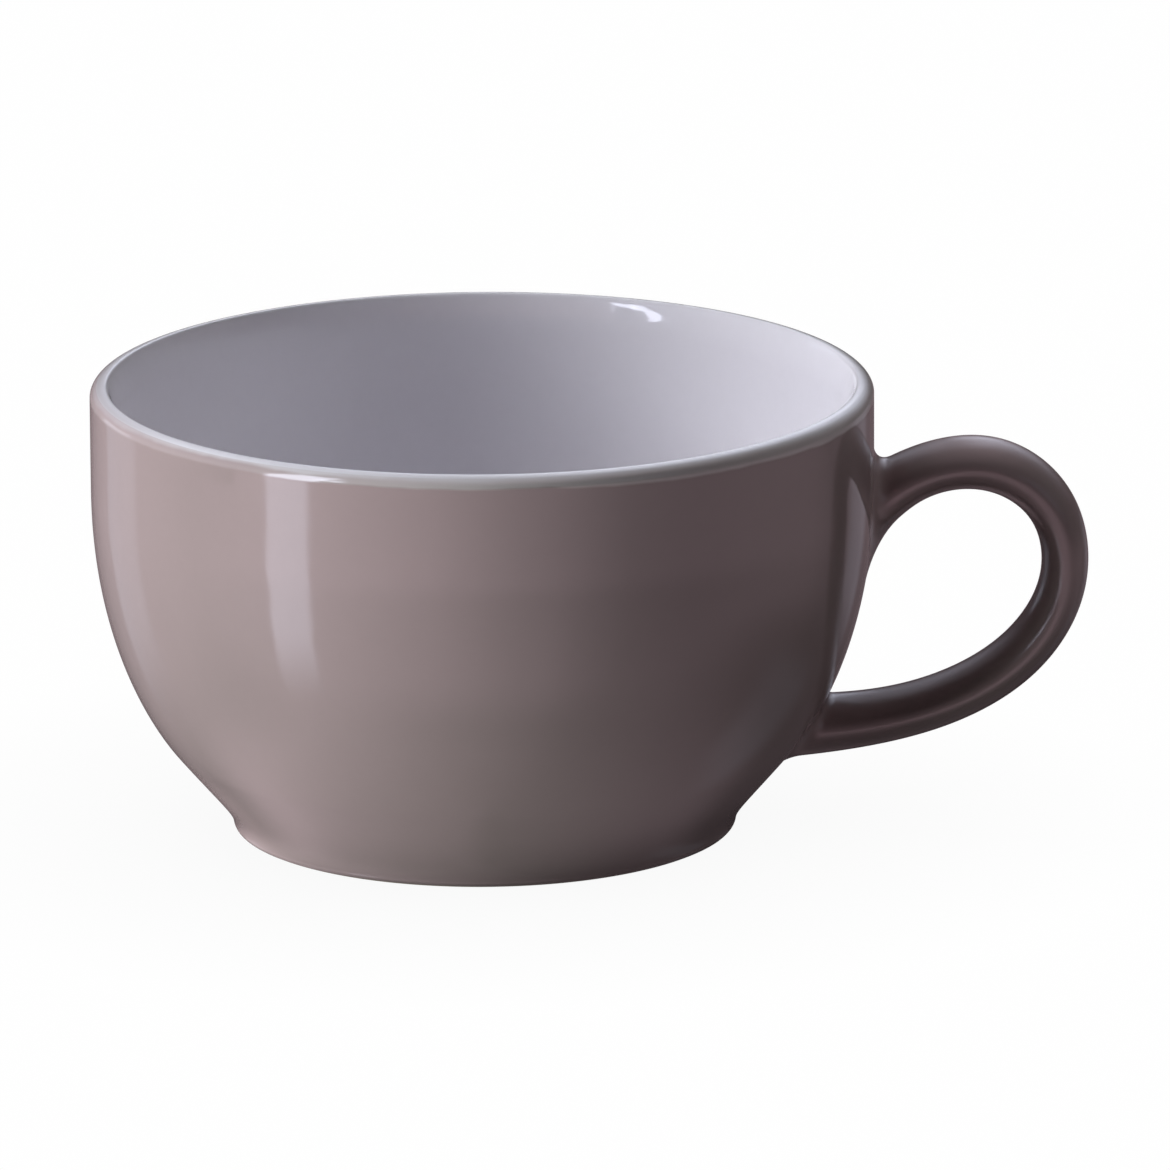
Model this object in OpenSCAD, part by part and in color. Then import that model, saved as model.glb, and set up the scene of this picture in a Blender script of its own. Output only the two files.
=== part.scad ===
// Cappuccino cup in glazed stoneware: a round-bellied bowl on a turned foot
// ring, with a loop handle stuck on by hand with slip (liquid clay).
// Outside and handle carry one glaze, the inside and the lip a white one.
// Millimetres. Origin: bowl axis at the plane of the foot. +Z up, handle at +X.

/* [Bowl] */
// Outside diameter at the widest point, glaze included
rim_d = 110; // [96:1:124]
// Height from the foot plane to the crest of the lip
cup_h = 63.8; // [56:0.2:72]
// Thickness of the lip, glaze included
lip_t = 3.4; // [2.8:0.1:4.4]
// Height of the inside bottom above the foot plane, glaze included
floor_z = 7; // [6:0.25:9]

/* [Foot] */
// Outside diameter of the foot ring where it turns up from the table
foot_d = 71; // [64:0.5:76]
// Width of the foot ring's bare bearing face
foot_land = 2.4; // [1.6:0.1:3.2]
// Depth of the recess under the foot
recess_h = 2; // [1.2:0.1:2.8]

/* [Handle] */
// How far the loop's centreline stands out from the bowl's widest radius
loop_out = 28; // [22:0.5:34]
// Thickness of the handle's oval section, seen from the side of the cup
handle_t = 7; // [5.6:0.1:8.4]
// Width of the handle's oval section, across the loop
handle_w = 12; // [9:0.25:15]

/* [Glaze] */
// Thickness of the fired glaze
glaze_t = 0.3; // [0.2:0.05:0.5]
// Thickness of the slip joint between the bowl and the handle's ends
slip_t = 1; // [0.6:0.1:1.6]
// Angle on the lip's round where the white glaze meets the outside glaze
lip_lap = 55; // [10:5:75]

/* [Hidden] */

rr = rim_d / 2;        // widest radius
fr = foot_d / 2;       // foot radius
q = lip_t / 2;         // height of the lip's outer round
lip_w = q * 2.15 / 1.7; // its width: the lip's crest lies close to the inside
edge = 0.8;            // round at the foot's outer edge
kz = cup_h / 63.8;     // heights follow the cup's height
$fn = 96;

mauve = [0.55, 0.48, 0.49];
white = [0.90, 0.89, 0.92];
bisque = [0.86, 0.80, 0.72];
slip = [0.80, 0.74, 0.66];

// ---- curves ---------------------------------------------------------------

function bez(p, n) = [for (i = [0:n]) let (t = i / n, s = 1 - t)
    s*s*s*p[0] + 3*s*s*t*p[1] + 3*s*t*t*p[2] + t*t*t*p[3]];

function arc(c, r, a0, a1, n) = [for (i = [0:n]) let (a = a0 + (a1 - a0) * i / n)
    c + r * [cos(a), sin(a)]];

function unit(v) = v / norm(v);

// The list without its first point, for joining curves end to end
function tail(p) = [for (i = [1:len(p) - 1]) p[i]];

function flip(p) = [for (i = [len(p) - 1:-1:0]) p[i]];

// A curve moved sideways by d, to the right of its own direction
function beside(p, d) = [for (i = [0:len(p) - 1]) let (
        a = p[max(i - 1, 0)], b = p[min(i + 1, len(p) - 1)], t = unit(b - a))
    p[i] + d * [t[1], -t[0]]];

// ---- section of the bowl, as [radius, height] -----------------------------

// Round under the foot's outer edge, down to where the glaze is wiped off
foot_edge = arc([fr - edge, edge], edge, -45, 0, 5);

// Foot wall, sweeping out into a straight flare
flare_r = fr + 8.5 * (rr - fr) / 19.5;
flare = [flare_r, 12 * kz];
flare_dir = unit([1, 1.2]);
foot_wall = bez([[fr, edge], [fr + 0.5, 3.2 * kz],
                 flare - 9.4 * flare_dir, flare], 14);

// Belly: from the flare round to the upright wall, then straight to the lip
belly = bez([flare, flare + 1.6 * flare_dir, [rr, 25 * kz], [rr, 49 * kz]], 26);
wall_top = [rr, cup_h - q];

// The lip's oval round, d inside the glazed surface
function oval(d, a0, a1, n) = [for (i = [0:n]) let (a = a0 + (a1 - a0) * i / n)
    [rr - lip_w + (lip_w - d) * cos(a), cup_h - q + (q - d) * sin(a)]];
lip_out = oval(0, 0, lip_lap, 5);
lip_top = oval(0, lip_lap, 90, 4);

// From the crest a tight round turns into the inside wall, which flares a
// little over its top few millimetres
crest = [rr - lip_w, cup_h];
function off_crest(x, z) = crest - [x * q / 1.7, z];
lip_in = concat(
    bez([crest, off_crest(0.3, 0), off_crest(0.46, 0.31), off_crest(0.55, 0.6)], 5),
    tail(bez([off_crest(0.55, 0.6), off_crest(0.8, 1.4), off_crest(1.25, 3.2),
              off_crest(1.25, 5)], 8)));

// Inside: down the wall and round into the flat bottom
inside_top = [rr - lip_t, 55 * kz];
inside = bez([inside_top, [rr - lip_t, 30 * kz],
              [rr - 7.6 - lip_t, floor_z], [fr - 13.5, floor_z]], 30);

wall_line = concat(foot_wall, tail(belly), [wall_top]);
inside_line = concat(lip_in, inside);
outside_curve = concat(foot_edge, tail(wall_line), tail(lip_out));
inside_curve = concat(lip_top, tail(inside_line), [[0, floor_z]]);

// Recess under the foot, glazed, from the axis outwards to the ring
recess_r = fr - edge - foot_land - 0.8;
recess = concat([[0, recess_h]],
    arc([recess_r - 2.2, recess_h - 1.2], 1.2, 90, 20, 6));

// The same curves on the clay, one glaze thickness in. The glaze feathers out
// on the round of the clay foot.
clay_edge = edge - glaze_t;
clay_edge_c = [fr - edge, clay_edge];
outside_clay = concat(arc(clay_edge_c, clay_edge, -30, 0, 3),
    beside(wall_line, -glaze_t), tail(oval(glaze_t, 0, lip_lap, 5)));
inside_clay = concat(oval(glaze_t, lip_lap, 90, 4),
    tail(beside(inside_line, -glaze_t)), [[0, floor_z - glaze_t]]);
recess_clay = concat([[0, recess_h + glaze_t]],
    arc([recess_r - 2.2, recess_h - 1.2], 1.2 + glaze_t, 90, 20, 6));

// Bare foot ring: inner round, flat land on the table, outer round
land_in = fr - edge - foot_land;
ring_in = arc([land_in, 0.6], 0.6, 200, 270, 5);
ring_out = arc(clay_edge_c, clay_edge, -90, -30, 5);

// Turned about the axis, with the seam at the back, away from the handle
module ring_of(p) { rotate([0, 0, 180]) rotate_extrude() polygon(p); }

// Everything inside the bowl's outside surface grown by d
module envelope(d) {
    c = beside(outside_curve, d);
    ring_of(concat([[0, c[0][1]]], c, [[0, c[len(c) - 1][1]]]));
}

// ---- handle ---------------------------------------------------------------

// Stations of the loop, from inside the upper wall round to inside the lower:
// [out from the widest radius, height, half thickness, half width]
kx = loop_out / 28;
kt = handle_t / 7;
kb = handle_w / 12;
stations = [
    [-23,   28,   5.4, 8.0],
    [-14,   35,   5.4, 8.0],
    [-3.5,  42.5, 4.8, 7.0],
    [5,     50,   3.2, 6.0],
    [17,    52,   3.9, 6.0],
    [26.5,  45,   3.4, 6.0],
    [28,    33,   3.2, 6.0],
    [22,    23,   3.4, 6.0],
    [12.5,  17,   3.5, 6.0],
    [2,     14,   3.6, 6.0],
    [-9,    13,   4.1, 6.6],
    [-20,   13,   4.8, 7.6],
    [-31,   13,   4.8, 7.6]];

function station(i) = let (s = stations[i])
    [rr + s[0] * (s[0] > 0 ? kx : 1), s[1] * kz, s[2] * kt, s[3] * kb];

// Smooth curve near the stations (uniform cubic B-spline)
function spline(i, t) = (pow(1 - t, 3) * station(i)
    + (3*t*t*t - 6*t*t + 4) * station(i + 1)
    + (-3*t*t*t + 3*t*t + 3*t + 1) * station(i + 2)
    + t*t*t * station(i + 3)) / 6;

function spline_dir(i, t) = let (d =
      -pow(1 - t, 2) * station(i) + (3*t*t - 4*t) * station(i + 1)
    + (-3*t*t + 2*t + 1) * station(i + 2) + t*t * station(i + 3))
    unit([d[0], d[1]]);

spans = len(stations) - 3;
steps = 6;
sides = 28;
path = [for (i = [0:spans - 1]) for (j = [0:steps - (i == spans - 1 ? 0 : 1)])
    [spline(i, j / steps), spline_dir(i, j / steps)]];

// The handle's oval sections, d inside the glazed surface
function section(k, d) = let (c = path[k][0], u = path[k][1], n = [-u[1], u[0]])
    [for (j = [0:sides - 1]) let (a = 360 * j / sides,
            e = (c[2] - d) * cos(a), f = (c[3] - d) * sin(a))
        [c[0] + e * n[0], f, c[1] + e * n[1]]];

module loop(d) {
    m = len(path);
    pts = [for (k = [0:m - 1]) each section(k, d)];
    walls = [for (k = [0:m - 2]) for (j = [0:sides - 1])
        let (j2 = (j + 1) % sides, a = k * sides + j, b = k * sides + j2,
             c = a + sides, e = b + sides) each [[a, b, c], [b, e, c]]];
    ends = [[for (j = [sides - 1:-1:0]) j],
            [for (j = [0:sides - 1]) (m - 1) * sides + j]];
    polyhedron(pts, concat(walls, ends), 6);
}

// ---- pieces ---------------------------------------------------------------

// Stoneware bowl with its foot ring
module clay_bowl() color(bisque) ring_of(concat(
    ring_out, tail(outside_clay), tail(inside_clay),
    recess_clay, ring_in));

// Handle body, cut to the curve of the wall, one slip joint short of it
module clay_handle() color(bisque) difference() {
    loop(glaze_t);
    envelope(slip_t - glaze_t);
}

// Slip between wall and handle end; z0 and z1 pick one of the two ends
module luting(z0, z1) color(slip) difference() {
    intersection() {
        loop(glaze_t);
        envelope(slip_t - glaze_t);
        translate([rr - 24, -20, z0]) cube([30, 40, z1 - z0]);
    }
    envelope(-glaze_t);
}

module upper_luting() luting(30 * kz, 60 * kz);

module lower_luting() luting(4 * kz, 24 * kz);

// White coat over the inside and the lip
module inner_glaze() color(white) ring_of(concat(inside_curve, flip(inside_clay)));

// Coat on the outside of the bowl, open where the handle is stuck on
module outer_glaze() color(mauve) difference() {
    ring_of(concat(outside_curve, flip(outside_clay)));
    loop(glaze_t);
}

// Coat on the handle, ending on the bowl's own coat
module handle_glaze() color(mauve) difference() {
    difference() {
        loop(0);
        envelope(0);
    }
    loop(glaze_t);
}

// Coat in the recess under the foot
module foot_glaze() color(mauve) ring_of(concat(recess, flip(recess_clay)));

clay_bowl();
clay_handle();
upper_luting();
lower_luting();
inner_glaze();
outer_glaze();
handle_glaze();
foot_glaze();
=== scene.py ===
import math

import bpy
import numpy as np
from mathutils import Matrix, Vector


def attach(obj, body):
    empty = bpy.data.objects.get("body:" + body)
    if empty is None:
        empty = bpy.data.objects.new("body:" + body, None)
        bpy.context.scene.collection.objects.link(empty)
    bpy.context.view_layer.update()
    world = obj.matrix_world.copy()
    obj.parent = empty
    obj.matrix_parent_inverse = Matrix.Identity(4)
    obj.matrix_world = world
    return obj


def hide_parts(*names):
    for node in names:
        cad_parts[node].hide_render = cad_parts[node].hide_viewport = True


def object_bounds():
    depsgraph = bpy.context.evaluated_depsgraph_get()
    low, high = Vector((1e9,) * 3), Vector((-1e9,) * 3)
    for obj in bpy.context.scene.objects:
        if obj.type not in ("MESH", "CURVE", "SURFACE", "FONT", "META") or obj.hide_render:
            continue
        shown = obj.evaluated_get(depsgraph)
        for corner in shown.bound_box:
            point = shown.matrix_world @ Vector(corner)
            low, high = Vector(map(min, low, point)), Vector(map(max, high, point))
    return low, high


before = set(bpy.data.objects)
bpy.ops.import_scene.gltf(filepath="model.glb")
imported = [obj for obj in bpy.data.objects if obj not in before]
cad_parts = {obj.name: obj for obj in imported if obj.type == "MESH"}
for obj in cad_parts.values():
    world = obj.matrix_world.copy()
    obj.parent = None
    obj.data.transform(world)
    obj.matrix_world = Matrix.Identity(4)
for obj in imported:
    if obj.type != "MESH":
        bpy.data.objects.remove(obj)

CAD_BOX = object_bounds()
CAD_LOW, CAD_HIGH = np.array(CAD_BOX[0]), np.array(CAD_BOX[1])
scene = bpy.context.scene
MM = 0.001
TAU = 2 * math.pi

# ---- sizes of the cup, in millimetres, the same as the construction's --------
rim_d, cup_h, lip_t, floor_z = 110.0, 63.8, 3.4, 7.0
foot_d, foot_land, recess_h = 71.0, 2.4, 2.0
glaze_t = 0.3
rr, fr, q, edge = rim_d / 2, foot_d / 2, lip_t / 2, 0.8
LIP_LAP = 55.0           # where the white glaze meets the outside glaze
lip_w = q * 2.15 / 1.7   # width of the lip's outer round

STATIONS = np.array([
    [-23, 28, 5.4, 8.0], [-14, 35, 5.4, 8.0], [-3.5, 42.5, 4.8, 7.0],
    [5, 50, 3.2, 6.0], [17, 52, 3.9, 6.0], [26.5, 45, 3.4, 6.0],
    [28, 33, 3.2, 6.0], [22, 23, 3.4, 6.0], [12.5, 17, 3.5, 6.0],
    [2, 14, 3.6, 6.0], [-9, 13, 4.1, 6.6], [-20, 13, 4.8, 7.6],
    [-31, 13, 4.8, 7.6]], float)
STATIONS[:, 0] += rr


# ---- camera ------------------------------------------------------------------

def look(name, pos, yaw, pitch, roll, lens):
    """A camera at pos (mm), turned yaw from +Y towards +X, pitch down, then rolled."""
    fwd = Vector((math.sin(yaw), math.cos(yaw), 0))
    right = Vector((math.cos(yaw), -math.sin(yaw), 0))
    up = Vector((0, 0, 1))
    f2 = fwd * math.cos(pitch) - up * math.sin(pitch)
    u2 = fwd * math.sin(pitch) + up * math.cos(pitch)
    r3 = right * math.cos(roll) + u2 * math.sin(roll)
    u3 = -right * math.sin(roll) + u2 * math.cos(roll)
    data = bpy.data.cameras.new(name)
    data.sensor_width = 36
    data.lens = lens
    data.clip_start, data.clip_end = 0.05, 50
    cam = bpy.data.objects.new(name, data)
    m = Matrix((r3, u3, -f2)).transposed().to_4x4()
    m.translation = Vector(pos) * MM
    cam.matrix_world = m
    scene.collection.objects.link(cam)
    return cam


scene.camera = look("camera", (-87.24, -1998.10, 561.24),
                    math.radians(2.910), math.radians(14.764), math.radians(-0.310),
                    452.23)


# ---- curves and surfaces -------------------------------------------------------

def bez(p, n, power=1.0):
    p = np.array(p, float)
    t = (np.linspace(0, 1, n + 1) ** power)[:, None]
    s = 1 - t
    return s**3 * p[0] + 3*s*s*t * p[1] + 3*s*t*t * p[2] + t**3 * p[3]


def arc(c, r, a0, a1, n):
    a = np.radians(np.linspace(a0, a1, n + 1))
    return np.array(c, float) + r * np.c_[np.cos(a), np.sin(a)]


def join(*curves):
    out = [np.array(curves[0], float)]
    for c in curves[1:]:
        c = np.array(c, float)
        out.append(c[1:] if np.allclose(c[0], out[-1][-1], atol=1e-7) else c)
    return np.concatenate(out)


def beside(p, d):
    """A curve moved sideways by d, to the right of its own direction."""
    a = np.r_[p[:1], p[:-1]]
    b = np.r_[p[1:], p[-1:]]
    t = b - a
    t /= np.linalg.norm(t, axis=1)[:, None]
    return p + d * np.c_[t[:, 1], -t[:, 0]]


def along(a, b, n):
    return np.array(a, float) + np.linspace(0, 1, n + 1)[:, None] * (np.array(b, float) - np.array(a, float))


flare = np.array([fr + 8.5 * (rr - fr) / 19.5, 12.0])
flare_dir = np.array([1, 1.2]) / math.hypot(1, 1.2)
foot_wall = bez([[fr, edge], [fr + 0.5, 3.2], flare - 9.4 * flare_dir, flare], 56)
belly = bez([flare, flare + 1.6 * flare_dir, [rr, 25], [rr, 49]], 150)
wall_line = join(foot_wall, belly, along([rr, 49], [rr, cup_h - q], 20))


def oval(d, a0, a1, n):
    """The lip's outer round, d inside the glazed surface."""
    a = np.radians(np.linspace(a0, a1, n + 1))
    return np.array([rr - lip_w, cup_h - q]) + np.c_[(lip_w - d) * np.cos(a), (q - d) * np.sin(a)]


# from the crest a tight round turns into the inside wall, which flares a little at the top
crest = np.array([rr - lip_w, cup_h])
lip_in = join(bez([crest, crest - [0.3, 0], crest - [0.46, 0.31], crest - [0.55, 0.6]], 20),
              bez([crest - [0.55, 0.6], crest - [0.8, 1.4], crest - [1.25, 3.2], crest - [1.25, 5]], 36))
inside_line = join(lip_in, along([rr - lip_t, cup_h - 5], [rr - lip_t, 55], 6),
                   bez([[rr - lip_t, 55], [rr - lip_t, 30], [rr - 7.6 - lip_t, floor_z], [fr - 13.5, floor_z]], 150),
                   along([fr - 13.5, floor_z], [0.02, floor_z], 24))

# the outside as one curve from foot to lip, for finding the wall under a point
OUT = join(arc([fr - edge, edge], edge, -45, 0, 14), wall_line)
OUT_S = np.r_[0, np.cumsum(np.linalg.norm(np.diff(OUT, axis=0), axis=1))]


def wall_r(z):
    return np.interp(z, OUT[:, 1], OUT[:, 0])


def wall_s(z):
    return np.interp(z, OUT[:, 1], OUT_S)


def wall_at(theta, s, depth=0.0):
    """A point on the bowl's outside, depth mm under it, at angle theta and length s up its curve, and the unit vectors round, up and out of the wall there."""
    r, z = np.interp(s, OUT_S, OUT[:, 0]), np.interp(s, OUT_S, OUT[:, 1])
    h = 0.25
    dr = np.interp(s + h, OUT_S, OUT[:, 0]) - np.interp(s - h, OUT_S, OUT[:, 0])
    dz = np.interp(s + h, OUT_S, OUT[:, 1]) - np.interp(s - h, OUT_S, OUT[:, 1])
    n = np.hypot(dr, dz)
    dr, dz = dr / n, dz / n
    c, si = np.cos(theta), np.sin(theta)
    round_ = np.stack([-si, c, 0 * c], -1)
    up = np.stack([dr * c, dr * si, dz], -1)
    out = np.stack([dz * c, dz * si, -dr], -1)
    p = np.stack([r * c, r * si, z], -1) - depth * out
    return p, round_, up, out


def mesh_object(name, verts, faces, sharp=35.0):
    me = bpy.data.meshes.new(name)
    verts = np.clip(np.asarray(verts) * MM, CAD_LOW, CAD_HIGH)
    me.from_pydata(verts.tolist(), [], [tuple(int(i) for i in f) for f in faces])
    me.validate()
    me.polygons.foreach_set("use_smooth", np.ones(len(me.polygons), bool))
    me.set_sharp_from_angle(angle=math.radians(sharp))
    me.update()
    ob = bpy.data.objects.new(name, me)
    scene.collection.objects.link(ob)
    return ob


def lathe(name, loop, segs=384, sharp=35.0, bend=None):
    """A closed section [[radius, height], ...], turned about the axis. bend(theta) gives the section at an angle instead.
    Points closer than 0.05 mm to the axis become one pole."""
    thetas = np.arange(segs) * TAU / segs
    first = loop if bend is None else bend(0.0)
    n = len(first)
    pole = [i for i in range(n) if first[i][0] < 0.05]
    verts, index = [], np.zeros((segs, n), int)
    for i in pole:
        index[:, i] = len(verts)
        verts.append((0, 0, first[i][1]))
    rest = [i for i in range(n) if i not in pole]
    for k, th in enumerate(thetas):
        sec = first if bend is None else bend(th)
        for i in rest:
            index[k, i] = len(verts)
            verts.append((sec[i][0] * math.cos(th), sec[i][0] * math.sin(th), sec[i][1]))
    faces = []
    for k in range(segs):
        k2 = (k + 1) % segs
        for i in range(n):
            j = (i + 1) % n
            f = [index[k, i], index[k2, i], index[k2, j], index[k, j]]
            g = []
            for v in f:
                if v not in g:
                    g.append(v)
            if len(g) > 2:
                faces.append(g)
    return mesh_object(name, verts, faces, sharp)


def area_sign(loop):
    a = np.array(loop)
    b = np.roll(a, -1, 0)
    return float(np.sum(a[:, 0] * b[:, 1] - b[:, 0] * a[:, 1]))


def closed(*curves):
    """The curves joined into a section that runs anticlockwise, so its faces point outwards."""
    loop = join(*curves)
    if np.allclose(loop[0], loop[-1], atol=1e-7):
        loop = loop[:-1]
    return loop if area_sign(loop) > 0 else loop[::-1]


# ---- glaze coats and body ------------------------------------------------------

outside = join(wall_line, oval(0, 0, LIP_LAP, 16))
outside_under = join(beside(wall_line, -glaze_t), oval(glaze_t, 0, LIP_LAP, 16))


def outer_section(theta):
    """The outside coat. Its lower edge was wiped by hand, so it wanders a little on the foot's round."""
    end = -45 + 3.0 * math.sin(3 * theta + 0.7) + 2.2 * math.sin(7 * theta + 2.1) + 1.3 * math.sin(17 * theta)
    mid = edge - glaze_t / 2
    c = np.array([fr - edge, edge])
    tip = c + mid * np.array([math.cos(math.radians(end)), math.sin(math.radians(end))])
    roll = arc(tip, glaze_t / 2, end, end - 180, 8)          # the coat's rounded edge
    lower = arc(c, edge, end, 0, 12)
    under = arc(c, edge - glaze_t, end, 0, 12)
    return join(outside_under[::-1], under[::-1], roll[::-1], lower, outside)


sec0 = outer_section(0.0)
flip_outer = area_sign(sec0) < 0
outer = lathe("outer_glaze_coat", None, 384, 40,
              bend=(lambda t: outer_section(t)[::-1]) if flip_outer else outer_section)

inner = lathe("inner_glaze_coat", closed(
    join(oval(0, LIP_LAP, 90, 14), inside_line),
    join(beside(inside_line, -glaze_t)[:0:-1], oval(glaze_t, LIP_LAP, 90, 14)[::-1])), 384, 40)

recess_r = fr - edge - foot_land - 0.8
recess_out = join(along([0.02, recess_h], [recess_r - 2.2, recess_h], 20), arc([recess_r - 2.2, recess_h - 1.2], 1.2, 90, 20, 12))
recess_in = join(along([0.02, recess_h + glaze_t], [recess_r - 2.2, recess_h + glaze_t], 20), arc([recess_r - 2.2, recess_h - 1.2], 1.2 + glaze_t, 90, 20, 12))
foot_coat = lathe("foot_glaze_coat", closed(recess_out, recess_in[::-1]), 288, 40)

clay_edge = edge - glaze_t
clay_c = [fr - edge, clay_edge]
land_in = fr - edge - foot_land
body = lathe("stoneware_bowl", closed(
    arc(clay_c, clay_edge, -90, -30, 10), arc([fr - edge, clay_edge], clay_edge, -30, 0, 6),
    beside(wall_line, -glaze_t), oval(glaze_t, 0, 90, 28), beside(inside_line, -glaze_t)[1:],
    recess_in, arc([land_in, 0.6], 0.6, 200, 270, 10)), 288, 40)


# ---- handle coat ---------------------------------------------------------------

def spline(t):
    """Centre x, z, half thickness and half width of the loop at t, from 0 to the number of spans."""
    t = np.asarray(t, float)
    i = np.clip(np.floor(t).astype(int), 0, len(STATIONS) - 4)
    f = (t - i)[..., None]
    p0, p1, p2, p3 = (STATIONS[i + k] for k in range(4))
    c = ((1 - f)**3 * p0 + (3*f**3 - 6*f*f + 4) * p1 + (-3*f**3 + 3*f*f + 3*f + 1) * p2 + f**3 * p3) / 6
    d = -(1 - f)**2 * p0 + (3*f*f - 4*f) * p1 + (-3*f*f + 2*f + 1) * p2 + f*f * p3
    d = d[..., :2] / np.linalg.norm(d[..., :2], axis=-1)[..., None]
    return c, d


def tube(t, phi, inset=0.0):
    """Points of the oval tube at t and phi (0 on the loop's outer side)."""
    c, d = spline(t)
    e, w = (c[..., 2] - inset) * np.cos(phi), (c[..., 3] - inset) * np.sin(phi)
    return np.stack([c[..., 0] - e * d[..., 1], w, c[..., 1] + e * d[..., 0]], -1)


SPANS = len(STATIONS) - 3
COLS = 128
PHI = np.arange(COLS) * TAU / COLS


def crossing(phi, inset, lower, depth=0.0):
    """The t at which the tube's line at phi comes out of the wall."""
    ts = np.linspace(0, SPANS, 1201)
    if lower:
        ts = ts[::-1]
    p = tube(ts, np.full_like(ts, phi), inset)
    f = np.hypot(p[:, 0], p[:, 1]) - (wall_r(p[:, 2]) - depth)
    k = int(np.argmax(f > 0))
    a = f[k - 1] / (f[k - 1] - f[k])
    return ts[k - 1] + a * (ts[k] - ts[k - 1])


def three(top, side, under, phi):
    """A size that is top at phi 0, side at 90 degrees and under at 180, smoothly between."""
    b, m = (top - under) / 2, (top + under) / 2
    a = (m + side) / 2
    return a + b * np.cos(phi) + (a - side) * np.cos(2 * phi)


def root(lower, on_tube, on_wall, rows=26, grip=0.62):
    """The flared root: rows of points from the wall to the tube, and the t on the tube where each column ends."""
    tx = np.array([crossing(p, 0.0, lower) for p in PHI])
    X = tube(tx, PHI)
    theta, s = np.arctan2(X[:, 1], X[:, 0]), wall_s(X[:, 2])
    r = np.hypot(X[:, 0], X[:, 1])
    flat = np.c_[r * theta, s]
    d = np.roll(flat, -1, 0) - np.roll(flat, 1, 0)
    nrm = np.c_[d[:, 1], -d[:, 0]]
    nrm /= np.linalg.norm(nrm, axis=1)[:, None]
    if np.sum((flat - flat.mean(0)) * nrm) < 0:
        nrm = -nrm
    dw, dt = on_wall(PHI), on_tube(PHI)
    P3, rnd, up, out = wall_at(theta + dw * nrm[:, 0] / r, s + dw * nrm[:, 1], 0.012)
    away = rnd * nrm[:, :1] + up * nrm[:, 1:]
    # along the tube by dt from the wall
    sgn = -1.0 if lower else 1.0
    steps = np.linspace(0, 2.4, 481)
    t0 = np.zeros(COLS)
    P0, T0 = np.zeros((COLS, 3)), np.zeros((COLS, 3))
    for k in range(COLS):
        line = tube(tx[k] + sgn * steps, np.full_like(steps, PHI[k]))
        length = np.r_[0, np.cumsum(np.linalg.norm(np.diff(line, axis=0), axis=1))]
        t0[k] = tx[k] + sgn * np.interp(dt[k], length, steps)
        P0[k] = tube(t0[k], PHI[k])
        back = tube(t0[k] - sgn * 0.01, PHI[k]) - P0[k]
        T0[k] = back / np.linalg.norm(back)
    g0 = grip * np.linalg.norm(P0 - X, axis=1)[:, None]
    g3 = grip * np.linalg.norm(P3 - X, axis=1)[:, None]
    P1, P2 = P0 + T0 * g0, P3 - away * g3
    out_rows = []
    for w in np.linspace(0, 1, rows + 1)[:-1]:
        w = 1 - w**1.6                       # close rows near the wall
        out_rows.append((1 - w)**3 * P0 + 3*(1 - w)**2*w * P1 + 3*(1 - w)*w*w * P2 + w**3 * P3)
    return out_rows, t0


UP_TUBE = lambda p: three(3.4, 3.4, 6.0, p)
UP_WALL = lambda p: three(4.2, 3.0, 6.5, p)
LO_TUBE = lambda p: three(3.4, 2.8, 2.2, p)
LO_WALL = lambda p: three(3.2, 2.6, 2.4, p)


def handle_coat():
    a_rows, ta = root(False, UP_TUBE, UP_WALL)
    b_rows, tb = root(True, LO_TUBE, LO_WALL)
    rows = list(a_rows)
    for w in np.linspace(0, 1, 261):
        rows.append(tube(ta + (tb - ta) * w, PHI))
    rows += b_rows[::-1]
    # back along the clay, 0.3 mm under the glazed surface
    ia = np.array([crossing(p, glaze_t, False, 0.012) for p in PHI])
    ib = np.array([crossing(p, glaze_t, True, 0.012) for p in PHI])
    for w in np.linspace(1, 0, 101):
        rows.append(tube(ia + (ib - ia) * w, PHI, glaze_t))
    n = len(rows)
    verts = np.concatenate(rows)
    faces = []
    for i in range(n):
        i2 = (i + 1) % n
        for k in range(COLS):
            k2 = (k + 1) % COLS
            faces.append((i * COLS + k, i * COLS + k2, i2 * COLS + k2, i2 * COLS + k))
    ob = mesh_object("handle_glaze_coat", verts, faces, 60)
    return ob


handle = handle_coat()


def face_out(ob):
    """Turns a closed mesh's faces outwards if its volume comes out negative."""
    me = ob.data
    co = np.zeros(len(me.vertices) * 3)
    me.vertices.foreach_get("co", co)
    co = co.reshape(-1, 3)
    me.calc_loop_triangles()
    tri = np.zeros(len(me.loop_triangles) * 3, int)
    me.loop_triangles.foreach_get("vertices", tri)
    t = co[tri.reshape(-1, 3)]
    v = np.einsum("ij,ij->i", t[:, 0], np.cross(t[:, 1], t[:, 2])).sum() / 6
    if v < 0:
        me.flip_normals()
    return abs(v) * 1e9


for ob in (outer, inner, foot_coat, body, handle):
    print(ob.name, "volume mm3", round(face_out(ob), 1), "verts", len(ob.data.vertices))


# ---- materials -----------------------------------------------------------------

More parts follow.
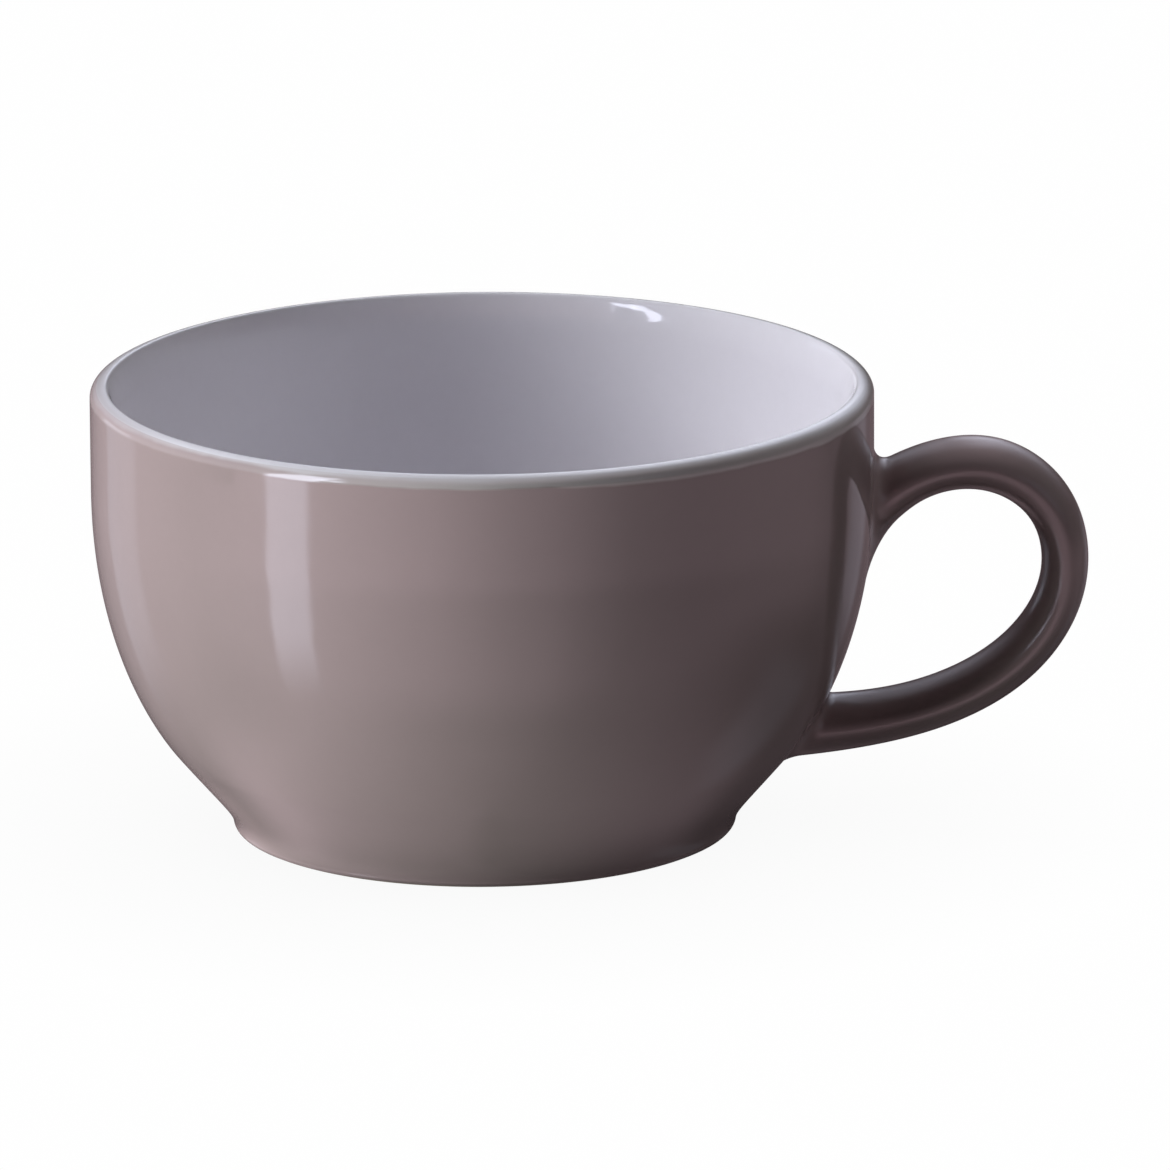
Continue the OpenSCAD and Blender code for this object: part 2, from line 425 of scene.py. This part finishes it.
class Mat:
    def __init__(self, name):
        self.m = bpy.data.materials.new(name)
        self.m.use_nodes = True
        self.t = self.m.node_tree
        self.bsdf = self.t.nodes["Principled BSDF"]
        self.co = self.t.nodes.new("ShaderNodeTexCoord").outputs["Object"]

    def node(self, kind, **inputs):
        n = self.t.nodes.new(kind)
        for k, v in inputs.items():
            key = int(k[1:]) if k[0] == "i" and k[1:].isdigit() else k.replace("_", " ")
            if hasattr(v, "is_linked") or isinstance(v, bpy.types.NodeSocket):
                self.t.links.new(v, n.inputs[key])
            else:
                n.inputs[key].default_value = v
        return n

    def noise(self, mm, detail=2.0, rough=0.5, vec=None):
        n = self.node("ShaderNodeTexNoise", Vector=vec or self.co, Scale=1000.0 / mm, Detail=detail, Roughness=rough)
        return n.outputs["Fac"]

    def remap(self, v, a, b, c, d, smooth=False):
        n = self.node("ShaderNodeMapRange", Value=v, From_Min=a, From_Max=b, To_Min=c, To_Max=d)
        n.clamp = True
        if smooth:
            n.interpolation_type = "SMOOTHSTEP"
        return n.outputs["Result"]

    def math(self, op, a, b=None, clamp=False):
        n = self.t.nodes.new("ShaderNodeMath")
        n.operation, n.use_clamp = op, clamp
        for k, v in enumerate((a, b)):
            if v is None:
                continue
            if isinstance(v, bpy.types.NodeSocket):
                self.t.links.new(v, n.inputs[k])
            else:
                n.inputs[k].default_value = v
        return n.outputs[0]

    def mix(self, fac, a, b):
        n = self.t.nodes.new("ShaderNodeMix")
        n.data_type = "RGBA"
        for sock, v in ((n.inputs["Factor"], fac), (n.inputs[6], a), (n.inputs[7], b)):
            if isinstance(v, bpy.types.NodeSocket):
                self.t.links.new(v, sock)
            else:
                sock.default_value = (*v, 1) if isinstance(v, tuple) and len(v) == 3 else v
        return n.outputs[2]

    def axis(self, k):
        n = self.t.nodes.new("ShaderNodeSeparateXYZ")
        self.t.links.new(self.co, n.inputs[0])
        return n.outputs[k]

    def bump(self, height, strength, mm):
        n = self.node("ShaderNodeBump", Height=height, Strength=strength, Distance=mm * MM)
        self.t.links.new(n.outputs[0], self.bsdf.inputs["Normal"])
        return n

    def set(self, **sockets):
        for k, v in sockets.items():
            s = self.bsdf.inputs[k.replace("_", " ")]
            if isinstance(v, bpy.types.NodeSocket):
                self.t.links.new(v, s)
            else:
                s.default_value = (*v, 1) if isinstance(v, tuple) and len(v) == 3 else v


MAUVE = (0.394, 0.296, 0.303)
WHITE = (0.805, 0.785, 0.827)


def glaze(name, colour, lip=None, painted_left_shade=None, rough=(0.045, 0.085), ior=1.5):
    """A gloss glaze: colour that pools and thins a little, and a soft orange peel. lip gives the colour in the pale
    band under the lip, where the coat runs thin, and the colour where it runs out on the white coat; both are laid on
    with painted light, weak on the lit left and strong on the right. The tint given for the white coat is painted
    shade: it darkens the white coat's lip towards mauve on the lit left side, away from the handle."""
    g = Mat(name)
    cloud = g.noise(14, 3, 0.55)
    mottle = g.noise(1.6, 2, 0.6)
    tone = g.math("ADD", g.remap(cloud, 0.3, 0.7, -0.035, 0.035), g.remap(mottle, 0.3, 0.7, -0.02, 0.02))
    dark = tuple(c * 0.86 for c in colour)
    light = tuple(min(1.0, c * 1.14) for c in colour)
    base = g.mix(g.math("ADD", tone, 0.5, True), dark, light)
    if lip:
        z = g.math("ADD", g.axis(2), g.remap(g.noise(9, 2, 0.5), 0.3, 0.7, -0.00018, 0.00018))
        # Painted light: the pale band is weak on the lit left, strong on the right and reaches lower there; the band
        # itself is the coat running thin.
        side = g.remap(g.axis(0), -0.042, 0.004, 0.12, 0.85, True)
        lower = g.remap(g.axis(0), 0.004, 0.024, 0.0, 0.0006, True)
        band = g.math("MULTIPLY", g.remap(g.math("ADD", z, lower), 0.0620, 0.0625, 0.0, 1.0, True), side)
        base = g.mix(band, base, lip[0])
        # The pale colour where the coat runs out at the crest, with painted light: weak on the lit left, strong on the
        # right.
        light_side_weight = g.remap(g.axis(0), -0.053, -0.036, 0.25, 0.85, True)
        base = g.mix(g.math("MULTIPLY", g.remap(z, 0.0629, 0.06345, 0.0, 1.0, True), light_side_weight), base, lip[1])
    if painted_left_shade:
        # Painted shade: the white coat's outer lip edge turns towards mauve on the lit left side.
        x, y = g.axis(0), g.axis(1)
        radius = g.math("SQRT", g.math("ADD", g.math("MULTIPLY", x, x), g.math("MULTIPLY", y, y)))
        light_side_weight = g.remap(x, -0.053, -0.042, 0.8, 0.0, True)
        base = g.mix(g.math("MULTIPLY", g.remap(radius, 0.0529, 0.0539, 0.0, 1.0, True), light_side_weight), base, painted_left_shade)
    g.set(Base_Color=base, Roughness=g.remap(g.noise(2.5, 2, 0.5), 0.3, 0.7, *rough), IOR=ior)
    peel = g.math("ADD", g.math("MULTIPLY", g.noise(7.0, 2, 0.5), 1.0), g.math("MULTIPLY", g.noise(1.3, 1, 0.5), 0.12))
    g.bump(peel, 0.25, 0.12)
    return g.m


def clay(name, colour):
    """Bare fired clay: fine grain, a few dark grits, faint turning lines round the axis."""
    c = Mat(name)
    grain = c.noise(0.5, 4, 0.65)
    base = c.mix(c.remap(grain, 0.35, 0.65, 0.0, 1.0), tuple(k * 0.84 for k in colour), tuple(min(1, k * 1.1) for k in colour))
    grit = c.noise(0.8, 1, 0.5)
    base = c.mix(c.remap(grit, 0.70, 0.75, 0.0, 0.7), base, (0.16, 0.11, 0.075))
    x, y = c.axis(0), c.axis(1)
    radius = c.math("SQRT", c.math("ADD", c.math("MULTIPLY", x, x), c.math("MULTIPLY", y, y)))
    rings = c.math("SINE", c.math("MULTIPLY", radius, TAU / 0.00042))
    h = c.math("ADD", c.math("MULTIPLY", rings, 0.12), grain)
    c.set(Base_Color=base, Roughness=c.remap(grain, 0.3, 0.7, 0.72, 0.95), IOR=1.45)
    c.bump(h, 0.6, 0.06)
    return c.m


# The pale lip colours are the coat running thin, laid on with painted light; the white coat's tint is painted shade.
mauve = glaze("mauve_glaze", MAUVE, [(0.84, 0.765, 0.78), (0.77, 0.735, 0.765)])
mauve_handle = glaze("mauve_glaze_handle", MAUVE, rough=(0.20, 0.26), ior=1.42)
white = glaze("white_glaze", WHITE, painted_left_shade=(0.52, 0.47, 0.485))
bisque = clay("bisque_stoneware", (0.60, 0.50, 0.39))
slip = clay("slip_joint", (0.55, 0.46, 0.36))

for ob, mat, node, slot in (
        (outer, mauve, "outer_glaze", "mauve_glaze"), (handle, mauve_handle, "handle_glaze", "mauve_glaze"),
        (inner, white, "inner_glaze", "white_glaze"), (foot_coat, mauve, "foot_glaze", "mauve_glaze"),
        (body, bisque, "clay_bowl", "bisque")):
    ob.data.materials.append(mat)
    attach(ob, "root")
    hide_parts(node)

for node, mat in (("clay_handle", bisque), ("upper_luting", slip), ("lower_luting", slip)):
    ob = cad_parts[node]
    ob.data.materials.clear()
    ob.data.materials.append(mat)


# ---- floor and light -----------------------------------------------------------

class Tree:
    """Small node tree builder for the floor and the studio around it."""

    def __init__(self, tree):
        self.t = tree
        tree.nodes.clear()

    def node(self, kind, **inputs):
        n = self.t.nodes.new(kind)
        for k, v in inputs.items():
            self.put(n.inputs[k.replace("_", " ")], v)
        return n

    def put(self, socket, v):
        if isinstance(v, bpy.types.NodeSocket):
            self.t.links.new(v, socket)
        else:
            socket.default_value = v

    def math(self, op, a, b=0.0, c=0.0):
        n = self.t.nodes.new("ShaderNodeMath")
        n.operation = op
        for k, v in enumerate((a, b, c)):
            self.put(n.inputs[k], v)
        return n.outputs[0]

    def rise(self, v, a, b):
        """0 below a, 1 above b, smooth between."""
        n = self.node("ShaderNodeMapRange", Value=v, From_Min=a, From_Max=b, To_Min=0.0, To_Max=1.0)
        n.interpolation_type = "SMOOTHSTEP"
        return n.outputs[0]

    def between(self, v, a, b, soft, soft_b=None):
        soft_b = soft if soft_b is None else soft_b
        return self.math("SUBTRACT", self.rise(v, a - soft, a + soft), self.rise(v, b - soft_b, b + soft_b))

    def ramp(self, v, lo, hi, stops):
        """Straight lines through (position, value) points, for values up to 1."""
        n = self.node("ShaderNodeValToRGB", Fac=self.math("DIVIDE", self.math("SUBTRACT", v, lo), hi - lo))
        e = n.color_ramp.elements
        while len(e) > 1:
            e.remove(e[0])
        for k, (x, y) in enumerate(stops):
            el = e[0] if k == 0 else e.new((x - lo) / (hi - lo))
            el.position = (x - lo) / (hi - lo)
            el.color = (y, y, y, 1)
        return n.outputs[0]

    def total(self, *parts):
        out = parts[0]
        for p in parts[1:]:
            out = self.math("ADD", out, p)
        return out

    def product(self, *parts):
        out = parts[0]
        for p in parts[1:]:
            out = self.math("MULTIPLY", out, p)
        return out


def quad(name, corners, mat):
    me = bpy.data.meshes.new(name)
    me.from_pydata([tuple(c) for c in corners], [], [(0, 1, 2, 3)])
    ob = bpy.data.objects.new(name, me)
    scene.collection.objects.link(ob)
    me.materials.append(mat)
    return ob


# The floor is near white where it is seen, a little darker close to the cup: a painted contact shadow, from ambient
# occlusion.
# Seen in the glaze, and for light that comes up from it, it fades out towards
# the cup, where the cup itself keeps the light away.
fm = bpy.data.materials.new("pale_floor")
fm.use_nodes = True
f = Tree(fm.node_tree)
ao = f.node("ShaderNodeAmbientOcclusion", Distance=0.05)
ao.samples = 12
seen = f.node("ShaderNodeEmission", Color=(1.0, 1.0, 1.0, 1),
              Strength=f.math("MULTIPLY_ADD", ao.outputs["AO"], 0.065, 0.93))
place = f.node("ShaderNodeSeparateXYZ", Vector=f.node("ShaderNodeNewGeometry").outputs["Position"])
radius = f.math("SQRT", f.total(f.product(place.outputs[0], place.outputs[0]), f.product(place.outputs[1], place.outputs[1])))
near_cup = f.ramp(radius, 0.0, 0.3, [(0.0, 0.15), (0.033, 0.2), (0.036, 0.4), (0.040, 0.65), (0.048, 0.82), (0.065, 0.93), (0.10, 1.0)])
# Painted shadow: deeper round the handle, to the right, where the cup's shadow falls, and weaker on the lit left side.
dx = f.math("SUBTRACT", place.outputs[0], 0.082)
from_handle = f.math("SQRT", f.total(f.product(dx, dx), f.product(place.outputs[1], place.outputs[1])))
lit_side = f.rise(f.math("DIVIDE", place.outputs[0], radius), -0.55, -0.98)
near_cup = f.math("ADD", near_cup, f.product(lit_side, 0.75, f.math("SUBTRACT", 1.0, near_cup)))
shaded = f.product(near_cup, f.math("MULTIPLY_ADD", f.rise(from_handle, 0.014, 0.082), 0.66, 0.34))
lets_through = f.node("ShaderNodeBsdfTransparent", Color=shaded)
clear = f.node("ShaderNodeBsdfTransparent")
rays = f.node("ShaderNodeLightPath")
below = f.node("ShaderNodeNewGeometry").outputs["Backfacing"]
top_side = f.node("ShaderNodeMixShader", Fac=below)
f.t.links.new(seen.outputs[0], top_side.inputs[1])
f.t.links.new(clear.outputs[0], top_side.inputs[2])
which = f.node("ShaderNodeMixShader", Fac=rays.outputs["Is Camera Ray"])
f.t.links.new(lets_through.outputs[0], which.inputs[1])
f.t.links.new(top_side.outputs[0], which.inputs[2])
f.t.links.new(which.outputs[0], f.node("ShaderNodeOutputMaterial").inputs["Surface"])
floor = quad("floor", [(-6, -6, 0), (6, -6, 0), (6, 6, 0), (-6, 6, 0)], fm)

# Brightness of the table in the glaze, by azimuth: far from the cup, and close to it
TABLE_FAR = [(-180, .06), (-150, .06), (-145, 0), (-96, 0), (-88, .25), (-80, .5), (-72, .9), (-55, 1.25), (-36, 1.4),
             (-18, 1.5), (-6, 1.37), (6, 1.23), (18, 1.14), (30, .92), (42, .72), (60, .65), (80, .57), (96, .45),
             (110, .33), (122, .16), (150, .13), (165, .10), (180, .08)]
TABLE_NEAR = [(-180, .45), (-150, .85), (-100, .9), (-60, .95), (-30, .88), (0, .72), (30, .57), (90, .6), (130, .47),
              (160, .35), (180, .45)]
TABLE_TINT = (1.36, 1.0, 1.11)
# Brightness of the backdrop in the glaze, above the table, by azimuth
BACKDROP = [(-180, .55), (-165, .75), (-148, .35), (-128, 0), (112, 0), (135, .3), (150, .95),
            (160, 1.5), (168, 1.7), (176, 1.1), (180, .55)]
# Softboxes, and what the table returns of them: azimuth from, to, softness;
# elevation from, to, their softness; level; leaning (0 or 1)
BOXES = [(-69, -55, 1.2, -32, -9, 9, 1, 2.6, 1), (-68, -51, 1.2, -9, 46, 1, 2, 9.0, 0),
         (-52, -44.5, 1, 10, 24, 1.5, 2, 9.0, 0), (28, 62, 10, 8, 28, 8, 10, 0.55, 0), (104, 132, 8, -48, -29, 6, 3, 0.25, 0), (168, 190, 4, 15, 23, 5, 5, 1.0, 0),
         (-147, -126, 2, -26, -4, 6, 1, 0.36, 1), (-145, -124, 3, -4, 8, 1, 2, 1.0, 0),
         (136, 152, 3, -22, -4, 5, 1, 0.15, 0)]
BOX_TINT = (1.0, 1.05, 1.25)
# Lights on the cup: azimuth, elevation, level
LIGHTS = [(0, -90, .11), (0, -50, .06), (-75, -25, .26), (-60, -25, .14), (15, -25, .05), (-75, -9, .19), (-60, -9, .43),
          (-75, 5, .12), (-120, 20, .07), (-105, 20, .16), (-90, 20, .29), (-75, 20, .155), (90, 20, .085), (180, 20, .05),
          (-150, 35, .03), (-120, 35, .10), (-105, 35, .17), (-90, 35, .21), (-75, 35, .12), (90, 35, .09),
          (150, 35, .045), (180, 35, .04), (-120, 52, .105), (-90, 52, .155), (120, 52, .045), (150, 52, .045),
          (180, 52, .03), (180, 70, .03), (-135, 70, .04), (-90, 70, .07)]
FROM_TABLE = (0.86, 1.0, 0.92)      # tint of the lights that come up from the left
FROM_SKY = (0.985, 1.0, 1.06)       # and of those that come down from there

# The studio as the glaze mirrors it: a pale table that gets darker to the
# right, a tall softbox front left and a weaker one back left.
world = bpy.data.worlds.new("studio")
scene.world = world
world.use_nodes = True
w = Tree(world.node_tree)
way = w.node("ShaderNodeSeparateXYZ", Vector=w.node("ShaderNodeTexCoord").outputs["Generated"])
az = w.math("DEGREES", w.math("ARCTAN2", way.outputs[0], w.math("MULTIPLY", way.outputs[1], -1.0)))
el = w.math("DEGREES", w.math("ARCSINE", way.outputs[2]))
far_part = w.rise(el, -52.0, -34.0)
far = w.product(w.ramp(az, -180, 180, [(x, y / 1.5) for x, y in TABLE_FAR]), 1.5, far_part,
                w.math("MULTIPLY_ADD", w.rise(el, -19.0, -14.0), 0.3, 1.0),
                w.math("SUBTRACT", w.math("MULTIPLY_ADD", w.rise(el, -13.0, 0.0), -0.7, 1.0), w.math("MULTIPLY", w.rise(el, 0.0, 45.0), 0.3)))
near = w.product(w.ramp(az, -180, 180, TABLE_NEAR), w.math("SUBTRACT", 1.0, far_part),
                 w.ramp(el, -90, 90, [(-90, 0.6), (-60, 1.0), (90, 1.0)]))
parts = []
lean = w.math("MINIMUM", w.math("MAXIMUM", w.math("SUBTRACT", -18.0, el), 0.0), 17.0)
leaning = w.math("ADD", az, w.math("MULTIPLY", lean, 0.18))
for a0, a1, soft_a, e0, e1, soft_0, soft_1, level, leans in BOXES:
    parts.append(w.product(w.between(leaning if leans else az, a0, a1, soft_a), w.between(el, e0, e1, soft_0, soft_1), level))
table = w.node("ShaderNodeVectorMath", Vector=TABLE_TINT)
boxes = w.node("ShaderNodeVectorMath", Vector=BOX_TINT)
backdrop = w.product(w.ramp(az, -180, 180, [(x, y / 3) for x, y in BACKDROP]), 3.0, w.between(el, 16.0, 58.0, 13.0, 14.0))
parts.append(backdrop)
for n, level in ((table, w.total(far, near)), (boxes, w.total(*parts))):
    n.operation = "SCALE"
    w.t.links.new(level, n.inputs["Scale"])
both = w.node("ShaderNodeVectorMath")
w.t.links.new(table.outputs[0], both.inputs[0])
w.t.links.new(boxes.outputs[0], both.inputs[1])
mirrored = both.outputs[0]
seen_by_camera = w.node("ShaderNodeLightPath").outputs["Is Camera Ray"]
back = w.node("ShaderNodeBackground", Color=(0.97, 0.97, 0.97, 1), Strength=1.0)
studio = w.node("ShaderNodeBackground", Color=mirrored, Strength=1.0)
pick = w.node("ShaderNodeMixShader", Fac=seen_by_camera)
w.t.links.new(studio.outputs[0], pick.inputs[1])
w.t.links.new(back.outputs[0], pick.inputs[2])
w.t.links.new(pick.outputs[0], w.node("ShaderNodeOutputWorld").inputs["Surface"])
world.cycles_visibility.diffuse = False


# A black flag left of the cup, with a bent slit in it: the glaze inside the far
# right of the rim mirrors it in front of the softbox, so that the highlight
# there is a small hook. Points are distance along the flag and height.
SLIT_TOP = [(0.0268, 0.1104), (0.0193, 0.1031), (0.0133, 0.1053), (0.0095, 0.1026), (0.0056, 0.0975), (0.0011, 0.0912), (-0.0017, 0.0872), (-0.0036, 0.0820)]
SLIT_FOOT = [(0.0268, 0.1013), (0.0207, 0.0945), (0.0173, 0.0943), (0.0133, 0.0905), (0.0087, 0.0882), (0.0056, 0.0832), (0.0043, 0.0672), (-0.0036, 0.0706)]
gm = bpy.data.materials.new("black_flag")
gm.use_nodes = True
g = Tree(gm.node_tree)
g.t.links.new(g.node("ShaderNodeBsdfDiffuse", Color=(0.0, 0.0, 0.0, 1)).outputs[0], g.node("ShaderNodeOutputMaterial").inputs["Surface"])
rim_of_flag = [(-0.0400, 0.26)] + [(SLIT_TOP[0][0], 0.26)] + SLIT_TOP + SLIT_FOOT[::-1] + [(SLIT_FOOT[0][0], 0.05), (-0.0400, 0.05)]
me = bpy.data.meshes.new("flag")
me.from_pydata([(-0.0854 + 0.4048 * s, -0.0237 - 0.9145 * s, z) for s, z in rim_of_flag], [], [list(range(len(rim_of_flag)))])
flag = bpy.data.objects.new("flag", me)
scene.collection.objects.link(flag)
me.materials.append(gm)
for kind in ("camera", "diffuse", "transmission", "volume_scatter", "shadow"):
    setattr(flag, "visible_" + kind, False)


def softbox(name, az, el, level, tint=(1, 1, 1)):
    """A round soft light that faces the cup. az is measured from the camera's side, positive to the right."""
    a, e = math.radians(az), math.radians(el)
    d = Vector((math.sin(a) * math.cos(e), -math.cos(a) * math.cos(e), math.sin(e)))
    data = bpy.data.lights.new(name, "AREA")
    data.shape, data.size = "DISK", 0.38
    data.energy, data.color = 10 * level, tint
    ob = bpy.data.objects.new(name, data)
    ob.matrix_world = Matrix.Translation(Vector((0, 0, 0.035)) + d * 1.3) @ d.to_track_quat("Z", "Y").to_matrix().to_4x4()
    ob.visible_camera = False
    ob.visible_glossy = False
    scene.collection.objects.link(ob)
    return ob


# The table close to the foot throws some light on its left side
card = softbox("foot_card", -70, 0, 0.000045)
card.data.size = 0.008
card.data.spread = math.radians(95)
card.matrix_world = Matrix.Translation((-0.052, -0.019, 0.003)) @ Vector((-0.93, -0.36, 0.0)).to_track_quat("Z", "Y").to_matrix().to_4x4()

for k, (az, el, level) in enumerate(LIGHTS):
    tint = FROM_TABLE if az <= -60 and -50 < el < 0 else FROM_SKY if -125 < az < -70 and el > 15 else (1, 1, 1)
    softbox("softbox_%02d" % (k + 1), az, el, level, tint)

scene.view_settings.view_transform = "Standard"
scene.view_settings.look = "None"
scene.cycles.use_denoising = True
scene.cycles.max_bounces = 8

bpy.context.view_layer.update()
